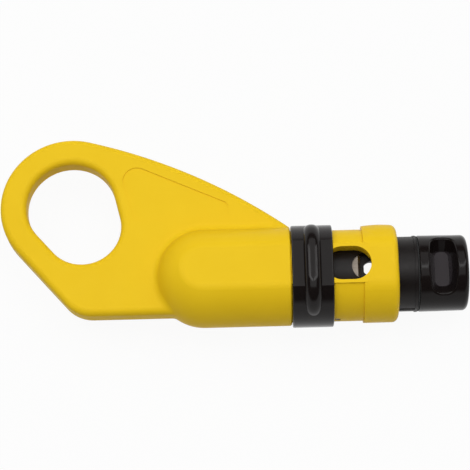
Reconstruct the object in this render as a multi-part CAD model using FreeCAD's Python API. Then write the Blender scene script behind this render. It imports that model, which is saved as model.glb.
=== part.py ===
import FreeCAD, Part
import math
import os

# Coaxial cable stripper: a flat moulded handle with a finger loop runs into a round housing.
# A barrel with a cable window stands in the housing. A sprung plunger slides in the barrel and
# carries the blades, a cap on its end is the push button, and a ring slides on the barrel's neck.
# While it is built, X runs along the barrel from the loop's far end towards the cap, the barrel's
# axis is Y = 0 and Z = 0, +Y is the loop's side and +Z the front, and all sizes are millimetres.

os.makedirs("parts", exist_ok=True)
V = FreeCAD.Vector

# Handle: finger loop and plate
loop_radius = 22.75
loop_wall = 8.45
loop_rise = 24.8
hole_shift = 7.95
hole_end_radius = 12.35
slant_deg = 48.6
corner_radius = 11.3
plate_drop = 12.1
plate_thickness = 8.2
plate_edge_radius = 2.1
back_radius = 185.0
back_step = 0.25

# Handle: the blank label panel, a shallow sunk field
panel_corners = [(36.9, 40.6), (73.3, 24.1), (73.3, 18.9), (43.3, 18.9)]
panel_radii = [4.5, 2.0, 1.2, 1.2]
panel_depth = 0.3

# Handle: barrel housing
dome_x = 65.3
housing_radius = 15.55
housing_length = 27.45
housing_wall = 3.1
housing_flat_cut = 1.55
housing_flat_round = 4.0
housing_end_round = 0.7
housing_blend = 2.6

# Barrel
tenon_length = 21.7
neck_length = 22.55
neck_wall = 3.92
pad_half_width = 6.45
head_length = 10.9
head_step = 0.35
head_flat_step = 0.3
head_flat_round = 7.0
head_end_round = 2.0

# Barrel: raised rest on the loop's side of the head, turned about a line beside the axis
rest_rise = 0.8
rest_end_rise = 0.45
rest_offset = 2.0
rest_half_deg = 65.0
rest_root = 2.5

# Cable window in the front, and the wider core window in the back
window_radius = 5.4
window_length = 14.45
window_edge_gap = 8.55
rear_half_width = 9.2
rear_length = 14.9
rear_edge_gap = 4.2
rear_corner = 3.0

# Plunger
plunger_length = 46.55
guide_rise = 1.35
guide_length = 9.0
rail_rise = 0.25
rail_half_width = 0.9
flange_width = 0.8
travel = 5.15
passage_radius = 4.3
passage_inset = 10.2
stop_depth = 3.5
stop_wall = 1.6
core_hole_radius = 2.31
core_hole_offset = 1.53
relief_half_width = 7.3
relief_length = 10.1

# Blades and what holds them
blade_thickness = 0.4
blade_half_width = 3.8
blade_bevel = 0.75
blade_bury = 1.5
jacket_blade_reach = 2.65
core_blade_reach = 4.1
blade_spacing = 6.2
blade_stack_length = 7.2
retainer_flange = 6.0
retainer_half_width = 5.5
retainer_thickness = 1.8
retainer_recess = 1.3
retainer_screw_y = 3.0
retainer_screw_x = 2.5
retainer_screw_radius = 0.9
retainer_screw_length = 6.5
retainer_head_radius = 1.6
retainer_head_height = 1.0

# Return spring and its seat
spring_share = 0.581
spring_wire_radius = 0.65
spring_turns = 7
spring_pocket_depth = 8.0
spring_pocket_gap = 0.85
spring_bore_gap = 1.45
seat_thickness = 1.0
seat_post_gap = 0.35
seat_post_length = 5.5
seat_post_round = 1.0

# Guide pins, one each side, that key the plunger and hold it in
pin_radius = 1.1
pin_x = 14.2
pin_sink = 0.25
keyway_depth = 1.8

# Cap on the plunger's end
cap_taper = 0.15
cap_length = 15.75
cap_dome = 0.6
cap_corner = 1.7
cap_start_round = 0.4
cap_spigot_radius = 6.0
cap_spigot_length = 1.8
pocket_x = 7.4
pocket_depth = 7.8
pocket_floor_half_width = 2.2
pocket_floor_half_length = 5.6
pocket_floor_corner = 1.7
pocket_flare_width = 2.35
pocket_flare_length = 7.9
pocket_flare_corner = 2.8
pocket_cutter_rise = 0.5
pocket_rim_round = 0.7
seal_gap = 0.6
seal_ring_radius = 0.27
seal_sink = 0.15
cap_screw_radius = 1.75
cap_screw_length = 21.0
cap_screw_head_radius = 3.3
cap_screw_head_height = 2.0
cap_screw_sink = 3.4
washer_thickness = 0.6
washer_radius = 3.6

# Barrel screws in the back of the housing
barrel_screw_x = 5.0
barrel_screw_y = 3.4
barrel_screw_radius = 1.0
barrel_screw_head_radius = 2.1
barrel_screw_head_height = 1.1
barrel_screw_length = 4.0
screw_sink = 0.3

# Sliding ring
ring_rise = 0.65
ring_wall = 1.62
ring_length = 12.95
ring_flat_rise = 0.4
ring_edge_radius = 0.5
bead_width = 5.8
bead_height = 1.8
bead_straight = 4.8
bead_turn_radius = 10.0
bead_edge_radius = 2.75

# Clearances
slide_clearance = 0.08
fit_clearance = 0.05
face_gap = 0.2

# Sizes across the axis, from the housing's outside inwards to the plunger and its spring
housing_flat = housing_radius - housing_flat_cut
tenon_radius = housing_radius - housing_wall - fit_clearance
head_radius = housing_radius - head_step
head_flat = housing_flat - head_flat_step
ring_radius = housing_radius + ring_rise
ring_flat = housing_flat + ring_flat_rise
neck_radius = ring_radius - ring_wall - slide_clearance
plunger_radius = neck_radius - neck_wall - slide_clearance
guide_radius = plunger_radius + guide_rise
flange_radius = guide_radius + rail_rise
spring_radius = spring_share * plunger_radius
spring_pocket_radius = spring_radius + spring_wire_radius + spring_pocket_gap
spring_bore_radius = spring_radius + spring_wire_radius + spring_bore_gap
seat_post_radius = spring_radius - spring_wire_radius - seat_post_gap
cap_radius = flange_radius
cap_end_radius = cap_radius - cap_taper
pocket_floor = cap_radius - pocket_depth
pocket_top = cap_radius + pocket_cutter_rise
seal_groove_radius = cap_radius - seal_sink - 2.0 * seal_ring_radius - fit_clearance

# Stations along the barrel's axis that the sizes above give
housing_end = dome_x + housing_length
neck_start = housing_end + fit_clearance
shoulder_x = neck_start + neck_length
head_end = shoulder_x + head_length
tenon_start = neck_start - tenon_length
seat_face = tenon_start - fit_clearance
bore_floor = seat_face - seat_thickness
flange_x = head_end + travel + fit_clearance
seal_x = flange_x + flange_width
cap_start = seal_x + seal_gap
cap_end = cap_start + cap_length
plunger_start = seal_x - plunger_length
guide_start = flange_x - guide_length
passage_x = head_end - passage_inset
blade_root = passage_x - passage_radius
stop_top = plunger_radius - stop_depth
window_end = head_end - window_edge_gap
rear_end = head_end - rear_edge_gap
ring_start = housing_end + face_gap
ring_end = ring_start + ring_length
ring_travel = shoulder_x - ring_end - face_gap


def box(x0, x1, y0, y1, z0, z1):
    return Part.makeBox(x1 - x0, y1 - y0, z1 - z0, V(x0, y0, z0))


def bar(radius, x0, x1):
    return Part.makeCylinder(radius, x1 - x0, V(x0, 0, 0), V(1, 0, 0))


def post(radius, x, y, z0, z1):
    return Part.makeCylinder(radius, z1 - z0, V(x, y, z0), V(0, 0, 1))


def on_circle(centre, radius, deg):
    angle = math.radians(deg)
    return V(centre.x + radius * math.cos(angle), centre.y + radius * math.sin(angle), centre.z)


def arc(centre, radius, start_deg, end_deg):
    middle = 0.5 * (start_deg + end_deg)
    points = [on_circle(centre, radius, deg) for deg in (start_deg, middle, end_deg)]
    return Part.Arc(*points).toShape()


def line(start, end):
    return Part.LineSegment(start, end).toShape()


def prism(wire, height):
    return Part.Face(wire).extrude(V(0, 0, height))


def circle_hull(centre_a, radius_a, centre_b, radius_b):
    """Outline of two circles and their outer tangents, both circles in one level plane."""
    span = centre_b.sub(centre_a)
    heading = math.degrees(math.atan2(span.y, span.x))
    spread = math.degrees(math.acos((radius_a - radius_b) / span.Length))
    low = heading - spread
    high = heading + spread
    return Part.Wire([
        arc(centre_a, radius_a, high, low + 360.0),
        line(on_circle(centre_a, radius_a, low), on_circle(centre_b, radius_b, low)),
        arc(centre_b, radius_b, low, high),
        line(on_circle(centre_b, radius_b, high), on_circle(centre_a, radius_a, high)),
    ])


def rounded_outline(corners, radii, z):
    """Closed outline with straight sides and an arc of its own radius at each corner."""
    edges = []
    last_end = None
    first_start = None
    count = len(corners)
    for index, (x, y) in enumerate(corners):
        corner = V(x, y, z)
        before = V(*corners[index - 1], z).sub(corner).normalize()
        after = V(*corners[(index + 1) % count], z).sub(corner).normalize()
        half_angle = 0.5 * before.getAngle(after)
        setback = radii[index] / math.tan(half_angle)
        inward = before.add(after).normalize()
        centre = corner.add(inward.multiply(radii[index] / math.sin(half_angle)))
        start = corner.add(before.multiply(setback))
        end = corner.add(after.multiply(setback))
        middle = centre.add(corner.sub(centre).normalize().multiply(radii[index]))
        if last_end is None:
            first_start = start
        else:
            edges.append(line(last_end, start))
        edges.append(Part.Arc(start, middle, end).toShape())
        last_end = end
    edges.append(line(last_end, first_start))
    return Part.Wire(edges)


def level_edges(shape, z, skip_x=None):
    """Edges that lie flat at height z, without those on the plane X = skip_x."""
    found = []
    for edge in shape.Edges:
        bounds = edge.BoundBox
        if abs(bounds.ZMin - z) > 0.01 or abs(bounds.ZMax - z) > 0.01:
            continue
        if skip_x is not None and abs(bounds.XMin - skip_x) < 0.01:
            continue
        found.append(edge)
    return found


def edges_at(shape, x):
    """Edges in the plane X = x."""
    return [edge for edge in shape.Edges
            if edge.BoundBox.XLength < 0.01 and abs(edge.BoundBox.XMin - x) < 0.01]


def round_edges_at(shape, x, radius):
    """Rounds the outer circular edge of a turned shape at station x."""
    widest = max(edges_at(shape, x), key=lambda edge: edge.BoundBox.YLength)
    return shape.makeFillet(radius, [widest])


def screw(head_radius, head_height, shank_radius, shank_length, seat, direction):
    """Pan screw with a cross recess: seat is the underside of its head, direction its point's."""
    head = Part.makeCylinder(head_radius, head_height, V(0, 0, -head_height))
    top_edges = level_edges(head, -head_height)
    head = head.makeFillet(0.3 * head_height, top_edges)
    shank = Part.makeCylinder(shank_radius, shank_length)
    shank = shank.makeChamfer(0.4 * shank_radius, level_edges(shank, shank_length))
    slot_half = 0.62 * head_radius
    slot_wide = 0.14 * head_radius
    recess_bottom = -0.4 * head_height
    slot = box(-slot_half, slot_half, -slot_wide, slot_wide, -head_height - 1.0, recess_bottom)
    cross = slot.copy()
    cross.rotate(V(0, 0, 0), V(0, 0, 1), 90.0)
    result = head.fuse(shank).cut(slot.fuse(cross)).removeSplitter()
    result.Placement = FreeCAD.Placement(seat, FreeCAD.Rotation(V(0, 0, 1), direction))
    return result


def flatted_bar(radius, flat, x0, x1):
    """Round bar with a flat in front and one behind."""
    return bar(radius, x0, x1).common(box(x0, x1, -radius, radius, -flat, flat))


def neck_section(x0, x1, clearance):
    """The neck with its two flat pads, or with a clearance the hole that slides on it."""
    flat = head_flat + clearance
    half = pad_half_width + clearance
    round_part = flatted_bar(neck_radius + clearance, flat, x0, x1)
    return round_part.fuse(box(x0, x1, -half, half, -flat, flat))


# Handle

def plate_outline():
    loop = V(loop_radius, loop_rise, 0)
    slant_normal_deg = 270.0 - slant_deg
    end_point = V(housing_end, housing_radius + back_step, 0)

    # Centre of the back's long arc: it holds the loop's circle inside and passes the end point.
    span = end_point.sub(loop)
    distance = span.Length
    reach = back_radius - loop_radius
    along = (distance ** 2 + reach ** 2 - back_radius ** 2) / (2.0 * distance)
    across = math.sqrt(reach ** 2 - along ** 2)
    unit = V(span.x / distance, span.y / distance, 0)
    back = loop.add(V(unit.x * along + unit.y * across, unit.y * along - unit.x * across, 0))
    loop_deg = math.degrees(math.atan2(loop.y - back.y, loop.x - back.x))
    end_deg = math.degrees(math.atan2(end_point.y - back.y, end_point.x - back.x))

    # Centre of the corner's arc, tangent to the slanted side and the bottom.
    normal = on_circle(V(0, 0, 0), 1.0, slant_normal_deg)
    corner_y = corner_radius - plate_drop
    corner_x = loop.x + (loop_radius - corner_radius - normal.y * (corner_y - loop.y)) / normal.x
    corner = V(corner_x, corner_y, 0)

    low_corner = V(housing_end, -plate_drop, 0)
    return Part.Wire([
        arc(loop, loop_radius, loop_deg, slant_normal_deg),
        line(on_circle(loop, loop_radius, slant_normal_deg),
             on_circle(corner, corner_radius, slant_normal_deg)),
        arc(corner, corner_radius, slant_normal_deg, 270.0),
        line(on_circle(corner, corner_radius, 270.0), low_corner),
        line(low_corner, end_point),
        arc(back, back_radius, end_deg, loop_deg),
    ])


def finger_hole():
    loop = V(loop_radius, loop_rise, 0)
    hole_radius = loop_radius - loop_wall
    toward_side = on_circle(V(0, 0, 0), hole_radius - hole_end_radius, 270.0 - slant_deg)
    down_side = on_circle(V(0, 0, 0), hole_shift, -slant_deg)
    lower = loop.add(toward_side).add(down_side)
    return circle_hull(loop, hole_radius, lower, hole_end_radius)


def make_plate():
    half = 0.5 * plate_thickness
    plate = prism(plate_outline(), plate_thickness).cut(prism(finger_hole(), plate_thickness))
    plate.translate(V(0, 0, -half))
    rims = level_edges(plate, half, housing_end) + level_edges(plate, -half, housing_end)
    plate = plate.makeFillet(plate_edge_radius, rims)
    panel = rounded_outline(panel_corners, panel_radii, half - panel_depth)
    return plate.cut(prism(panel, 2.0 * panel_depth))


def make_housing():
    dome = Part.makeSphere(housing_radius, V(dome_x, 0, 0))
    housing = bar(housing_radius, dome_x, housing_end).fuse(dome)
    far = dome_x - housing_radius
    housing = housing.common(box(far, housing_end, -housing_radius, housing_radius,
                                 -housing_flat, housing_flat)).removeSplitter()
    flats = level_edges(housing, housing_flat, housing_end)
    flats += level_edges(housing, -housing_flat, housing_end)
    return housing.makeFillet(housing_flat_round, flats)


def blend_edges(handle):
    """Inner edges where the plate's two faces and lower edge run into the housing."""
    half = 0.5 * plate_thickness
    found = []
    for edge in handle.Edges:
        bounds = edge.BoundBox
        if bounds.XMax > housing_end + 0.01 or bounds.XMin < dome_x - housing_radius - 1.0:
            continue
        middle = edge.valueAt(0.5 * (edge.FirstParameter + edge.LastParameter))
        if abs(abs(middle.z) - half) > 0.01 or bounds.ZLength > 0.01:
            continue
        round_distance = math.hypot(middle.y, middle.z)
        if middle.x < dome_x:
            round_distance = math.hypot(round_distance, middle.x - dome_x)
        if abs(round_distance - housing_radius) < 0.01:
            found.append(edge)
    return found


def barrel_screw_places():
    x = tenon_start + barrel_screw_x
    return [V(x, side * barrel_screw_y, 0) for side in (-1, 1)]


def make_handle():
    handle = make_plate().fuse(make_housing()).removeSplitter()
    handle = handle.makeFillet(housing_blend, blend_edges(handle))
    handle = handle.makeFillet(housing_end_round, edges_at(handle, housing_end))
    bore = bar(tenon_radius + fit_clearance, bore_floor, housing_end + 1.0)
    handle = handle.cut(bore)
    head_seat = barrel_screw_seat_z()
    for place in barrel_screw_places():
        shank_hole = post(barrel_screw_radius + fit_clearance, place.x, place.y, -housing_flat, 0)
        head_hole = post(barrel_screw_head_radius + fit_clearance, place.x, place.y,
                         -housing_flat - 1.0, head_seat)
        handle = handle.cut(shank_hole).cut(head_hole)
    return handle


def barrel_screw_seat_z():
    return -housing_flat + screw_sink + barrel_screw_head_height


# Barrel

def make_barrel():
    tenon = bar(tenon_radius, tenon_start, neck_start + 1.0)
    neck = neck_section(neck_start, shoulder_x + 1.0, 0.0)
    head = flatted_bar(head_radius, head_flat, shoulder_x, head_end)
    corners = [edge for edge in head.Edges if abs(edge.BoundBox.XLength - head_length) < 0.01
               and abs(abs(edge.valueAt(edge.FirstParameter).z) - head_flat) < 0.01]
    head = head.makeFillet(head_flat_round, corners)
    head = head.makeFillet(head_end_round, edges_at(head, head_end))
    barrel = tenon.fuse(neck).fuse(head).fuse(make_thumb_rest())

    run = slide_clearance
    spring_bore = bar(spring_bore_radius, tenon_start - 1.0, head_end)
    plunger_bore = bar(plunger_radius + run, plunger_start - travel - face_gap, head_end + 1.0)
    mouth_start = guide_start - travel - face_gap
    mouth = bar(guide_radius + run, mouth_start, head_end + 1.0)
    rail_half = rail_half_width + run
    rail_slot = bar(flange_radius + run, mouth_start, head_end + 1.0)
    rail_slot = rail_slot.common(box(mouth_start, head_end + 1.0, -head_radius, head_radius,
                                     -rail_half, rail_half))
    barrel = barrel.cut(spring_bore).cut(plunger_bore).cut(mouth).cut(rail_slot)

    reach = window_length - 2.0 * window_radius
    right = V(window_end - window_radius, 0, 0)
    left = V(right.x - reach, 0, 0)
    window = prism(circle_hull(left, window_radius, right, window_radius), head_radius + 1.0)
    rear_start = rear_end - rear_length
    rear_corners = [(rear_start, -rear_half_width), (rear_end, -rear_half_width),
                    (rear_end, rear_half_width), (rear_start, rear_half_width)]
    rear = prism(rounded_outline(rear_corners, [rear_corner] * 4, 0), -head_radius - 1.0)
    barrel = barrel.cut(window).cut(rear)

    for side in (-1, 1):
        hole = Part.makeCylinder(pin_radius, neck_radius + 1.0, V(guide_pin_x, 0, 0), V(0, side, 0))
        barrel = barrel.cut(hole)
    for place in barrel_screw_places():
        barrel = barrel.cut(post(barrel_screw_radius, place.x, place.y, -tenon_radius, 0))
    return barrel


def make_thumb_rest():
    """Low crowned rest on the loop's side of the head, which fades into the head's round."""
    end_radius = head_radius + rest_end_rise
    peak = V(shoulder_x + 0.5 * head_length, head_radius + rest_rise, 0)
    near = V(shoulder_x, end_radius, 0)
    far = V(head_end, end_radius, 0)
    near_root = V(shoulder_x, end_radius - rest_root, 0)
    far_root = V(head_end, end_radius - rest_root, 0)
    profile = Part.Wire([line(near_root, near), Part.Arc(near, peak, far).toShape(),
                         line(far, far_root), line(far_root, near_root)])
    rest = Part.Face(profile).revolve(V(0, rest_offset, 0), V(1, 0, 0), 2.0 * rest_half_deg)
    rest.rotate(V(0, rest_offset, 0), V(1, 0, 0), -rest_half_deg)
    return round_edges_at(rest, head_end, head_end_round)


guide_pin_x = neck_start + pin_x


def make_guide_pin(side):
    inner = plunger_radius - keyway_depth + face_gap
    outer = neck_radius - pin_sink
    pin = Part.makeCylinder(pin_radius - 0.5 * fit_clearance, outer - inner,
                            V(guide_pin_x, side * inner, 0), V(0, side, 0))
    return pin


# Plunger with its blades

def make_plunger():
    body = bar(plunger_radius, plunger_start, guide_start + 1.0)
    guide = bar(guide_radius, guide_start, flange_x + 0.1)
    rails = bar(flange_radius, guide_start, flange_x + 0.1)
    rails = rails.common(box(guide_start, flange_x + 0.1, -flange_radius, flange_radius,
                             -rail_half_width, rail_half_width))
    flange = bar(flange_radius, flange_x, seal_x)
    seal_neck = bar(seal_groove_radius, flange_x, cap_start)
    plunger = body.fuse(guide).fuse(rails).fuse(flange).fuse(seal_neck)

    pocket = bar(spring_pocket_radius, plunger_start - 1.0, plunger_start + spring_pocket_depth)
    spigot_socket = bar(cap_spigot_radius + fit_clearance, cap_start - cap_spigot_length - fit_clearance,
                        cap_start + 1.0)
    screw_hole = bar(cap_screw_radius, cap_screw_tip() - 1.0, cap_start)
    plunger = plunger.cut(pocket).cut(spigot_socket).cut(screw_hole)

    passage = post(passage_radius, passage_x, 0, stop_top, plunger_radius + 1.0)
    stop_bottom = stop_top - stop_wall
    core_hole = post(core_hole_radius, passage_x + core_hole_offset, 0, 0, stop_top + 1.0)
    relief = box(blade_root, blade_root + relief_length, -relief_half_width, relief_half_width,
                 -plunger_radius - 1.0, stop_bottom)
    plunger = plunger.cut(passage).cut(core_hole).cut(relief)

    half = blade_half_width + fit_clearance
    stack_start = blade_root - blade_stack_length - fit_clearance
    stack = box(stack_start, blade_root + 1.0, -half, half, -plunger_radius, stop_bottom)
    slot_top = jacket_blade_top() + fit_clearance
    upper = box(stack_start, blade_root, -half, half, -plunger_radius, slot_top)
    slot = box(stack_start, blade_root + jacket_blade_reach, -half, half,
               jacket_blade_top() - blade_thickness - fit_clearance, slot_top)
    flange_half = retainer_half_width + fit_clearance
    flange_pocket = box(retainer_start() - fit_clearance, blade_root + 1.0, -flange_half, flange_half,
                        -plunger_radius - 1.0, retainer_seat_z())
    plunger = plunger.cut(stack).cut(upper).cut(slot).cut(flange_pocket)

    for place in retainer_screw_places():
        tip = place.z + retainer_thickness + retainer_screw_length
        plunger = plunger.cut(post(retainer_screw_radius, place.x, place.y, place.z, tip))
    for side in (-1, 1):
        plunger = plunger.cut(make_keyway(side))
    return plunger


def make_keyway(side):
    half = pin_radius + slide_clearance
    left = guide_pin_x
    right = guide_pin_x + travel + fit_clearance
    depth_from = plunger_radius - keyway_depth
    wire = circle_hull(V(left, 0, 0), half, V(right, 0, 0), half)
    keyway = prism(wire, keyway_depth + 1.0)
    keyway.rotate(V(0, 0, 0), V(1, 0, 0), -90.0 * side)
    keyway.translate(V(0, side * depth_from, 0))
    return keyway


def jacket_blade_top():
    return plunger_radius - blade_bury


def core_blade_top():
    return jacket_blade_top() - blade_spacing


def blade_tail_start():
    return blade_root - blade_stack_length


def retainer_start():
    return blade_tail_start() - retainer_flange


def retainer_seat_z():
    """Height of the face in the plunger that the retainer's flange is screwed against."""
    return -plunger_radius + retainer_thickness + retainer_head_height + retainer_recess


def retainer_screw_places():
    x = retainer_start() + retainer_screw_x
    z = retainer_seat_z() - retainer_thickness
    return [V(x, side * retainer_screw_y, z) for side in (-1, 1)]


def make_blade(top, reach):
    """Flat blade with one bevel; its straight edge crosses the passage along Y."""
    start = blade_tail_start()
    edge_x = blade_root + reach
    bottom = top - blade_thickness
    profile = Part.makePolygon([
        V(start, 0, bottom), V(edge_x, 0, bottom), V(edge_x - blade_bevel, 0, top),
        V(start, 0, top), V(start, 0, bottom),
    ])
    blade = Part.Face(profile).extrude(V(0, 2.0 * blade_half_width, 0))
    blade.translate(V(0, -blade_half_width, 0))
    return blade


def make_blade_spacer():
    return box(blade_tail_start(), blade_root, -blade_half_width, blade_half_width,
               core_blade_top(), jacket_blade_top() - blade_thickness)


def make_blade_retainer():
    seat = retainer_seat_z()
    foot = box(blade_tail_start(), blade_root, -blade_half_width, blade_half_width,
               seat - retainer_thickness, core_blade_top() - blade_thickness)
    flange = box(retainer_start(), blade_root, -retainer_half_width, retainer_half_width,
                 seat - retainer_thickness, seat)
    retainer = foot.fuse(flange)
    for place in retainer_screw_places():
        retainer = retainer.cut(post(retainer_screw_radius + fit_clearance, place.x, place.y,
                                     place.z - 1.0, seat + 1.0))
    return retainer


# Spring and seat

def make_spring_seat():
    disc = bar(tenon_radius - fit_clearance, bore_floor, seat_face)
    guide = bar(seat_post_radius, bore_floor, seat_face + seat_post_length)
    return round_edges_at(disc.fuse(guide), seat_face + seat_post_length, seat_post_round)


def make_return_spring():
    """Round wire spring with ends ground flat where it seats."""
    start = seat_face
    end = plunger_start + spring_pocket_depth
    length = end - start
    pitch = length / spring_turns
    helix = Part.makeHelix(pitch, length + pitch, spring_radius)
    helix.Placement = FreeCAD.Placement(V(start - 0.5 * pitch, 0, 0),
                                        FreeCAD.Rotation(V(0, 0, 1), V(1, 0, 0)))
    path = Part.Wire(helix.Edges)
    first = path.Edges[0]
    point = first.valueAt(first.FirstParameter)
    tangent = first.tangentAt(first.FirstParameter)
    section = Part.Wire([Part.makeCircle(spring_wire_radius, point, tangent)])
    coil = path.makePipeShell([section], True, True)
    outer = spring_radius + 2.0 * spring_wire_radius
    return coil.common(box(start, end, -outer, outer, -outer, outer))


# Cap

def cap_screw_tip():
    return cap_end - cap_screw_sink - washer_thickness - cap_screw_length


def pocket_outline(x, half_width, half_length, corner, z):
    corners = [(x - half_width, -half_length), (x + half_width, -half_length),
               (x + half_width, half_length), (x - half_width, half_length)]
    return rounded_outline(corners, [corner] * 4, z)


def pocket_rim_edges(cap, x):
    """Edges where the two pockets meet the cap's outside."""
    found = []
    for edge in cap.Edges:
        points = [edge.valueAt(edge.FirstParameter + share * (edge.LastParameter - edge.FirstParameter))
                  for share in (0.0, 0.5, 1.0)]
        on_outside = all(cap_end_radius - 0.01 < math.hypot(point.y, point.z) < cap_radius + 0.01
                         for point in points)
        beside_pocket = all(abs(point.x - x) < cap_length / 2.0 - cap_corner for point in points)
        if on_outside and beside_pocket and abs(points[1].z) > 0.1 * cap_radius:
            found.append(edge)
    return found


def make_cap():
    shell = Part.makeCone(cap_radius, cap_end_radius, cap_length - cap_dome, V(cap_start, 0, 0), V(1, 0, 0))
    ball_radius = (cap_end_radius ** 2 + cap_dome ** 2) / (2.0 * cap_dome)
    ball = Part.makeSphere(ball_radius, V(cap_end - ball_radius, 0, 0))
    crown = ball.common(bar(cap_end_radius, cap_end - cap_dome - 0.01, cap_end + 1.0))
    cap = shell.fuse(crown).removeSplitter()
    cap = round_edges_at(cap, cap_end - cap_dome, cap_corner)
    cap = round_edges_at(cap, cap_start, cap_start_round)
    x = cap_start + pocket_x
    floor = pocket_outline(x, pocket_floor_half_width, pocket_floor_half_length, pocket_floor_corner,
                           pocket_floor)
    rim = pocket_outline(x, pocket_floor_half_width + pocket_flare_width,
                         pocket_floor_half_length + pocket_flare_length,
                         pocket_floor_corner + pocket_flare_corner, pocket_top)
    pocket = Part.makeLoft([floor, rim], True, True)
    back_pocket = pocket.copy()
    back_pocket.rotate(V(0, 0, 0), V(1, 0, 0), 180.0)
    cap = cap.cut(pocket).cut(back_pocket)
    cap = cap.makeFillet(pocket_rim_round, pocket_rim_edges(cap, x))
    cap = cap.fuse(bar(cap_spigot_radius, cap_start - cap_spigot_length, cap_start + 1.0))
    washer_seat = cap_end - cap_screw_sink - washer_thickness
    screw_well = bar(washer_radius + fit_clearance, washer_seat, cap_end + 1.0)
    screw_hole = bar(cap_screw_radius + fit_clearance, cap_start - cap_spigot_length - 1.0, cap_end)
    return cap.cut(screw_well).cut(screw_hole)


def make_seal_ring():
    return Part.makeTorus(seal_groove_radius + seal_ring_radius + fit_clearance, seal_ring_radius,
                          V(seal_x + 0.5 * seal_gap, 0, 0), V(1, 0, 0))


def make_washer():
    seat = cap_end - cap_screw_sink - washer_thickness
    disc = bar(washer_radius, seat, seat + washer_thickness)
    return disc.cut(bar(cap_screw_radius + fit_clearance, seat - 1.0, cap_end))


# Sliding ring

def make_ring():
    ring = flatted_bar(ring_radius, ring_flat, ring_start, ring_end)
    ends = [edge for edge in ring.Edges if edge.BoundBox.XLength < 0.01]
    ring = ring.makeFillet(ring_edge_radius, ends)
    ring = ring.fuse(make_bead())
    return ring.cut(neck_section(ring_start - 1.0, ring_end + 1.0, slide_clearance))


def make_bead():
    """Grip bead: straight across the front flat, then turning down into the round at each end."""
    crest = ring_flat + bead_height
    turn_z = crest - bead_turn_radius
    reach = bead_straight + bead_turn_radius
    slope = bead_turn_radius * math.sqrt(0.5)
    right = [V(0, bead_straight, crest), V(0, bead_straight + slope, turn_z + slope), V(0, reach, turn_z)]
    left = [V(0, -point.y, point.z) for point in reversed(right)]
    outline = Part.Wire([line(left[2], right[0]), Part.Arc(*right).toShape(), line(right[2], left[0]),
                         Part.Arc(*left).toShape()])
    bead = Part.Face(outline).extrude(V(bead_width, 0, 0))
    bead.translate(V(0.5 * (ring_start + ring_end - bead_width), 0, 0))
    edges = [edge for edge in bead.Edges
             if edge.BoundBox.XLength < 0.01 and edge.BoundBox.ZMax > turn_z + 0.01]
    return bead.makeFillet(bead_edge_radius, edges)


def tidy(shape):
    """Merges split faces, and gives one solid where there is one."""
    merged = shape.removeSplitter()
    return merged.Solids[0] if len(merged.Solids) == 1 else merged


pieces = {
    "handle": make_handle(),
    "barrel": make_barrel(),
    "guide_pin_upper": make_guide_pin(1),
    "guide_pin_lower": make_guide_pin(-1),
    "spring_seat": make_spring_seat(),
    "return_spring": make_return_spring(),
    "plunger": make_plunger(),
    "jacket_blade": make_blade(jacket_blade_top(), jacket_blade_reach),
    "core_blade": make_blade(core_blade_top(), core_blade_reach),
    "blade_spacer": make_blade_spacer(),
    "blade_retainer": make_blade_retainer(),
    "plunger_cap": make_cap(),
    "cap_seal_ring": make_seal_ring(),
    "cap_washer": make_washer(),
    "slide_ring": make_ring(),
}

cap_screw_seat = V(cap_end - cap_screw_sink, 0, 0)
pieces["cap_screw"] = screw(cap_screw_head_radius, cap_screw_head_height, cap_screw_radius,
                            cap_screw_length, cap_screw_seat, V(-1, 0, 0))
for number, place in enumerate(barrel_screw_places(), start=1):
    seat = V(place.x, place.y, barrel_screw_seat_z())
    pieces[f"barrel_screw_{number}"] = screw(barrel_screw_head_radius, barrel_screw_head_height,
                                             barrel_screw_radius, barrel_screw_length, seat, V(0, 0, 1))
for number, place in enumerate(retainer_screw_places(), start=1):
    pieces[f"retainer_screw_{number}"] = screw(retainer_head_radius, retainer_head_height,
                                               retainer_screw_radius, retainer_screw_length,
                                               place, V(0, 0, 1))

# The finished frame has its origin at the middle of the bounding box's lowest face.
bounds = Part.makeCompound(list(pieces.values())).optimalBoundingBox(False, False)
shift = V(-0.5 * (bounds.XMin + bounds.XMax), -0.5 * (bounds.YMin + bounds.YMax), -bounds.ZMin)

for name, piece in pieces.items():
    shape = tidy(piece)
    shape.translate(shift)
    shape.exportStep(f"parts/{name}.step")
    size = shape.BoundBox
    print(f"{name}: solids {len(shape.Solids)}, valid {shape.isValid()}, volume {shape.Volume:.1f},"
          f" {size.XLength:.2f} x {size.YLength:.2f} x {size.ZLength:.2f}")
print(f"shift {shift.x:.3f} {shift.y:.3f} {shift.z:.3f}, plunger travel {travel:.2f},"
      f" ring travel {ring_travel:.2f}")
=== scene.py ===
import bpy
from mathutils import Matrix, Vector


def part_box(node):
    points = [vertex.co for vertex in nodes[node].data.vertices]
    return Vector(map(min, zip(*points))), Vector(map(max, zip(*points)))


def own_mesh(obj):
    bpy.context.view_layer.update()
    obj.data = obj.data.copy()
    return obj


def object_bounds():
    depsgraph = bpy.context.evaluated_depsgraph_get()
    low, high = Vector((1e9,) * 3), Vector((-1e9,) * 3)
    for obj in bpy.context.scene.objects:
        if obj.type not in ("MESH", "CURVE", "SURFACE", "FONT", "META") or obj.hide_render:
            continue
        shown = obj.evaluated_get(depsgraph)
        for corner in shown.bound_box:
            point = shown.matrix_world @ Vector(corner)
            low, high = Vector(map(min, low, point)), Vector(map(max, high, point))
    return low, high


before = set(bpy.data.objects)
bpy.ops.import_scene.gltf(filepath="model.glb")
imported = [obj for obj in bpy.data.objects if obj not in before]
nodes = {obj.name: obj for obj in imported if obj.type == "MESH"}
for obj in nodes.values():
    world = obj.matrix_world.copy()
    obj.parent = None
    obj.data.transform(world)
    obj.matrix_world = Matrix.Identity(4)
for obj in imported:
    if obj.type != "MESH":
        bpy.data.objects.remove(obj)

cad_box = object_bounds()
scene = bpy.context.scene

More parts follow.
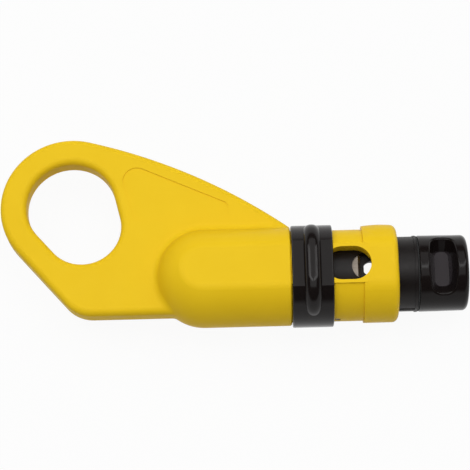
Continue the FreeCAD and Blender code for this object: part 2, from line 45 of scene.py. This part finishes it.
# Camera, placed where the photograph was taken from
CAMERA_TARGET = Vector((0.001010, -0.001162, 0.014451))
CAMERA_RIGHT = Vector((0.99955, -0.01960, -0.02275))
CAMERA_UP = Vector((0.02581, 0.94798, 0.31729))
CAMERA_DISTANCE = 0.55
CAMERA_LENS = 131.41
SENSOR_WIDTH = 36.0

# Colours as they are in daylight, in linear light
YELLOW = (0.81, 0.537, 0.0135)
YELLOW_DEEP = (0.78, 0.508, 0.011)
BLACK = (0.0065, 0.0047, 0.0044)
# Paler black for the cap's pocket floors: a painted highlight standing in for the light those faces
# catch
BLACK_PALE = (0.0092, 0.0067, 0.0063)
BLACK_PAINTED_SHEEN = (0.034, 0.028, 0.031)
STEEL = (0.24, 0.205, 0.170)
STEEL_DARK = (0.15, 0.13, 0.11)
RUBBER = (0.0060, 0.0058, 0.0058)


# The cap's pocket floors, which carry a painted highlight, reach this far from the cap's axis, and the
# highlight fades out over the next stretch
POCKET_REACH = 0.0076
POCKET_FADE = 0.0007


# How much of the noise's range a blend or a roughness follows
NOISE_LOW = 0.3
NOISE_HIGH = 0.7

# Noise sizes are turns per metre, depths are metres
FLOW_SCALE = 38.0
FLOW_DEPTH = 0.00004
GLOSS_PATCH_SCALE = 260.0
SCRATCH_SCALE = 900.0
SCRATCH_DEPTH = 0.000012
STEEL_PATCH_SCALE = 300.0
RUBBER_GRAIN_SCALE = 2500.0
RUBBER_GRAIN_DEPTH = 0.00002
RUBBER_DUST_SCALE = 160.0


# Node helpers

def new_material(name):
    material = bpy.data.materials.new(name)
    material.use_nodes = True
    tree = material.node_tree
    shader = tree.nodes["Principled BSDF"]
    return material, tree, shader


def noise(tree, scale, detail=3.0, roughness=0.55, stretch=None):
    coords = tree.nodes.new("ShaderNodeTexCoord")
    node = tree.nodes.new("ShaderNodeTexNoise")
    node.inputs["Scale"].default_value = scale
    node.inputs["Detail"].default_value = detail
    node.inputs["Roughness"].default_value = roughness
    if stretch is None:
        tree.links.new(coords.outputs["Object"], node.inputs["Vector"])
    else:
        mapping = tree.nodes.new("ShaderNodeMapping")
        mapping.inputs["Scale"].default_value = stretch
        tree.links.new(coords.outputs["Object"], mapping.inputs["Vector"])
        tree.links.new(mapping.outputs["Vector"], node.inputs["Vector"])
    return node.outputs["Fac"]


def ramp_value(tree, value, low, high):
    node = tree.nodes.new("ShaderNodeMapRange")
    node.inputs["From Min"].default_value = NOISE_LOW
    node.inputs["From Max"].default_value = NOISE_HIGH
    node.inputs["To Min"].default_value = low
    node.inputs["To Max"].default_value = high
    tree.links.new(value, node.inputs["Value"])
    return node.outputs["Result"]


def blend_colour(tree, value, first, second):
    node = tree.nodes.new("ShaderNodeMix")
    node.data_type = "RGBA"
    node.inputs["A"].default_value = (*first, 1.0)
    node.inputs["B"].default_value = (*second, 1.0)
    tree.links.new(ramp_value(tree, value, 0.0, 1.0), node.inputs["Factor"])
    return node.outputs["Result"]


def bump(tree, shader, layers):
    """Adds height layers, each a value, a strength and a depth in metres."""
    normal = None
    for value, strength, depth in layers:
        node = tree.nodes.new("ShaderNodeBump")
        node.inputs["Strength"].default_value = strength
        node.inputs["Distance"].default_value = depth
        tree.links.new(value, node.inputs["Height"])
        if normal is not None:
            tree.links.new(normal, node.inputs["Normal"])
        normal = node.outputs["Normal"]
    tree.links.new(normal, shader.inputs["Normal"])


def seen_rays(tree):
    """1 for the rays that show a background: seen by the camera, in a reflection or through glass."""
    path = tree.nodes.new("ShaderNodeLightPath")
    result = path.outputs["Is Camera Ray"]
    for kind in ("Is Glossy Ray", "Is Transmission Ray"):
        either = tree.nodes.new("ShaderNodeMath")
        either.operation = "MAXIMUM"
        tree.links.new(result, either.inputs[0])
        tree.links.new(path.outputs[kind], either.inputs[1])
        result = either.outputs["Value"]
    return result


def moulded_plastic(name, colour, second, rough, grain, grain_depth, specular):
    """Moulded plastic: faint flow marks in its colour, an etched mould grain and uneven gloss."""
    material, tree, shader = new_material(name)
    flow = noise(tree, FLOW_SCALE, 4.0, 0.6)
    patches = noise(tree, GLOSS_PATCH_SCALE, 3.0)
    fine = noise(tree, grain, 2.0, 0.5)
    tree.links.new(blend_colour(tree, flow, colour, second), shader.inputs["Base Color"])
    tree.links.new(ramp_value(tree, patches, rough - 0.05, rough + 0.06), shader.inputs["Roughness"])
    bump(tree, shader, [(flow, 0.12, FLOW_DEPTH), (fine, 0.5, grain_depth)])
    shader.inputs["Specular IOR Level"].default_value = specular
    return material


def cap_plastic():
    """The cap's plastic: dark and glossy outside, dull and paler on the finger pockets' floors, where
    the paler colour is a painted highlight.
    """
    material = moulded_plastic("cap_black", BLACK, BLACK_PALE, 0.14, 3600.0, 0.000003, 0.15)
    tree = material.node_tree
    shader = tree.nodes["Principled BSDF"]
    low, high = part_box("plunger_cap")
    coords = tree.nodes.new("ShaderNodeTexCoord")
    across = tree.nodes.new("ShaderNodeVectorMath")
    across.operation = "SUBTRACT"
    across.inputs[1].default_value = [0.5 * (a + b) for a, b in zip(low, high)]
    flat = tree.nodes.new("ShaderNodeVectorMath")
    flat.operation = "MULTIPLY"
    flat.inputs[1].default_value = (0.0, 1.0, 1.0)
    reach = tree.nodes.new("ShaderNodeVectorMath")
    reach.operation = "LENGTH"
    inside = tree.nodes.new("ShaderNodeMapRange")
    inside.inputs["From Min"].default_value = POCKET_REACH
    inside.inputs["From Max"].default_value = POCKET_REACH - POCKET_FADE
    tree.links.new(coords.outputs["Object"], across.inputs[0])
    tree.links.new(across.outputs["Vector"], flat.inputs[0])
    tree.links.new(flat.outputs["Vector"], reach.inputs[0])
    tree.links.new(reach.outputs["Value"], inside.inputs["Value"])
    # Painted highlight: the pocket floors are painted a paler black, standing in for the light they
    # reflect
    mix = tree.nodes.new("ShaderNodeMix")
    mix.data_type = "RGBA"
    mix.inputs["B"].default_value = (*BLACK_PAINTED_SHEEN, 1.0)
    tree.links.new(inside.outputs["Result"], mix.inputs["Factor"])
    tree.links.new(shader.inputs["Base Color"].links[0].from_socket, mix.inputs["A"])
    tree.links.new(mix.outputs["Result"], shader.inputs["Base Color"])
    return material


def brushed_steel(name, colour, second, rough, stretch):
    """Ground steel: long fine scratches one way and duller patches."""
    material, tree, shader = new_material(name)
    scratches = noise(tree, SCRATCH_SCALE, 4.0, 0.7, stretch)
    patches = noise(tree, STEEL_PATCH_SCALE, 3.0)
    tree.links.new(blend_colour(tree, patches, colour, second), shader.inputs["Base Color"])
    tree.links.new(ramp_value(tree, scratches, rough - 0.07, rough + 0.09), shader.inputs["Roughness"])
    bump(tree, shader, [(scratches, 0.3, SCRATCH_DEPTH)])
    shader.inputs["Metallic"].default_value = 1.0
    return material


def soft_rubber(name, colour):
    """Moulded rubber: matt, with a fine grain and pale dust."""
    material, tree, shader = new_material(name)
    fine = noise(tree, RUBBER_GRAIN_SCALE, 3.0)
    dust = noise(tree, RUBBER_DUST_SCALE, 4.0)
    pale = tuple(3.0 * value for value in colour)
    tree.links.new(blend_colour(tree, dust, colour, pale), shader.inputs["Base Color"])
    tree.links.new(ramp_value(tree, fine, 0.62, 0.8), shader.inputs["Roughness"])
    bump(tree, shader, [(fine, 0.4, RUBBER_GRAIN_DEPTH)])
    return material


MATERIALS = {
    "handle": moulded_plastic("handle_yellow", YELLOW, YELLOW_DEEP, 0.42, 5200.0, 0.000012, 0.06),
    "barrel": moulded_plastic("barrel_yellow", YELLOW, YELLOW_DEEP, 0.38, 4200.0, 0.000010, 0.06),
    "ring": moulded_plastic("ring_black", BLACK, BLACK_PALE, 0.15, 3600.0, 0.000003, 0.20),
    "plunger": moulded_plastic("plunger_black", BLACK, BLACK_PALE, 0.40, 3000.0, 0.000012, 0.22),
    "cap": cap_plastic(),
    "blade": brushed_steel("blade_steel", STEEL, STEEL_DARK, 0.30, (0.04, 1.0, 1.0)),
    "screw": brushed_steel("screw_steel", STEEL, STEEL_DARK, 0.34, (1.0, 1.0, 0.08)),
    "spring": brushed_steel("spring_steel", STEEL_DARK, STEEL, 0.38, (0.1, 1.0, 1.0)),
    "rubber": soft_rubber("seal_rubber", RUBBER),
}

NODE_FINISH = {
    "handle": "handle", "barrel": "barrel", "slide_ring": "ring", "plunger": "plunger",
    "blade_spacer": "plunger", "blade_retainer": "plunger", "plunger_cap": "cap",
    "jacket_blade": "blade", "core_blade": "blade", "cap_seal_ring": "rubber",
    "return_spring": "spring",
}

for name, node in nodes.items():
    node.data.materials.clear()
    node.data.materials.append(MATERIALS[NODE_FINISH.get(name, "screw")])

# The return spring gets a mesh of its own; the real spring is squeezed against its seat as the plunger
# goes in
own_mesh(nodes["return_spring"])

# Floor: pale, and close to white in the camera's view, as in the photograph
FLOOR_SIZE = 4.0
FLOOR_GREY = 0.62
FLOOR_SPECKLE = 0.02
FLOOR_SPECULAR = 0.2
FLOOR_LIFT = 0.94
FLOOR_DROP = 0.0001


def floor_material():
    material, tree, shader = new_material("floor_pale")
    speckle = noise(tree, 6.0, 2.0)
    grey = (FLOOR_GREY,) * 3
    paler = (FLOOR_GREY + FLOOR_SPECKLE,) * 3
    tree.links.new(blend_colour(tree, speckle, grey, paler), shader.inputs["Base Color"])
    tree.links.new(ramp_value(tree, speckle, 0.86, 0.92), shader.inputs["Roughness"])
    shader.inputs["Specular IOR Level"].default_value = FLOOR_SPECULAR
    glow = tree.nodes.new("ShaderNodeEmission")
    seen = tree.nodes.new("ShaderNodeMath")
    seen.operation = "MULTIPLY"
    seen.inputs[1].default_value = FLOOR_LIFT
    mix = tree.nodes.new("ShaderNodeMixShader")
    tree.links.new(seen_rays(tree), seen.inputs[0])
    tree.links.new(seen.outputs["Value"], mix.inputs["Fac"])
    tree.links.new(shader.outputs["BSDF"], mix.inputs[1])
    tree.links.new(glow.outputs["Emission"], mix.inputs[2])
    tree.links.new(mix.outputs["Shader"], tree.nodes["Material Output"].inputs["Surface"])
    return material


def make_floor():
    half = 0.5 * FLOOR_SIZE
    mesh = bpy.data.meshes.new("floor")
    corners = [(-half, -half, 0), (half, -half, 0), (half, half, 0), (-half, half, 0)]
    mesh.from_pydata(corners, [], [(0, 1, 2, 3)])
    mesh.materials.append(floor_material())
    floor = bpy.data.objects.new("floor", mesh)
    floor.location.z = cad_box[0][2] - FLOOR_DROP
    scene.collection.objects.link(floor)


make_floor()


# Lights: a large soft box overhead, leaning towards the loop's side, and two slim ones before it
# that draw the bright lines on the ring's bead and the cap's edges
SOFTBOX_PLACE = (0.0, 0.26, 1.10)
SOFTBOX_SIZE = (1.6, 1.7)
SOFTBOX_WATTS = 10.8
STRIP_X = {"left": -0.48, "right": 0.60}
STRIP_Y = 0.24
STRIP_Z = 1.00
STRIP_SIZE = (0.18, 1.2)
STRIP_WATTS = 2.4


def area_light(name, place, size, watts):
    """A rectangular lamp that faces the object."""
    data = bpy.data.lights.new(name, "AREA")
    data.shape = "RECTANGLE"
    data.size, data.size_y = size
    data.energy = watts
    light = bpy.data.objects.new(name, data)
    light.location = place
    aim = -Vector(place)
    light.rotation_euler = aim.to_track_quat("-Z", "Y").to_euler()
    scene.collection.objects.link(light)


area_light("softbox_top", SOFTBOX_PLACE, SOFTBOX_SIZE, SOFTBOX_WATTS)
for side, strip_x in STRIP_X.items():
    area_light(f"strip_{side}", (strip_x, STRIP_Y, STRIP_Z), STRIP_SIZE, STRIP_WATTS)

# World: dim grey light, and a white band above the horizon where a low view looks past the floor
WORLD_GREY = 0.29
CEILING_GREY = 0.04
BAND_TOP = 0.14
BAND_END = 0.34


def set_world():
    world = bpy.data.worlds.new("studio")
    scene.world = world
    world.use_nodes = True
    tree = world.node_tree
    coords = tree.nodes.new("ShaderNodeTexCoord")
    split = tree.nodes.new("ShaderNodeSeparateXYZ")
    height = tree.nodes.new("ShaderNodeMapRange")
    height.inputs["From Min"].default_value = BAND_TOP
    height.inputs["From Max"].default_value = BAND_END
    height.inputs["To Min"].default_value = 1.0
    height.inputs["To Max"].default_value = 0.0
    shown = tree.nodes.new("ShaderNodeMix")
    colour = tree.nodes.new("ShaderNodeMix")
    for mix, grey in ((shown, CEILING_GREY), (colour, WORLD_GREY)):
        mix.data_type = "RGBA"
        mix.inputs["A"].default_value = (grey, grey, grey, 1.0)
    shown.inputs["B"].default_value = (1.0, 1.0, 1.0, 1.0)
    tree.links.new(coords.outputs["Generated"], split.inputs["Vector"])
    tree.links.new(split.outputs["Z"], height.inputs["Value"])
    tree.links.new(height.outputs["Result"], shown.inputs["Factor"])
    tree.links.new(shown.outputs["Result"], colour.inputs["B"])
    tree.links.new(seen_rays(tree), colour.inputs["Factor"])
    tree.links.new(colour.outputs["Result"], tree.nodes["Background"].inputs["Color"])


set_world()

# Camera
back = CAMERA_RIGHT.cross(CAMERA_UP).normalized()
camera_data = bpy.data.cameras.new("camera")
camera_data.lens = CAMERA_LENS
camera_data.sensor_width = SENSOR_WIDTH
camera = bpy.data.objects.new("camera", camera_data)
turn = Matrix((CAMERA_RIGHT, back.cross(CAMERA_RIGHT), back)).transposed().to_4x4()
camera.matrix_world = Matrix.Translation(CAMERA_TARGET + CAMERA_DISTANCE * back) @ turn
scene.collection.objects.link(camera)
scene.camera = camera
scene.view_settings.view_transform = "Standard"
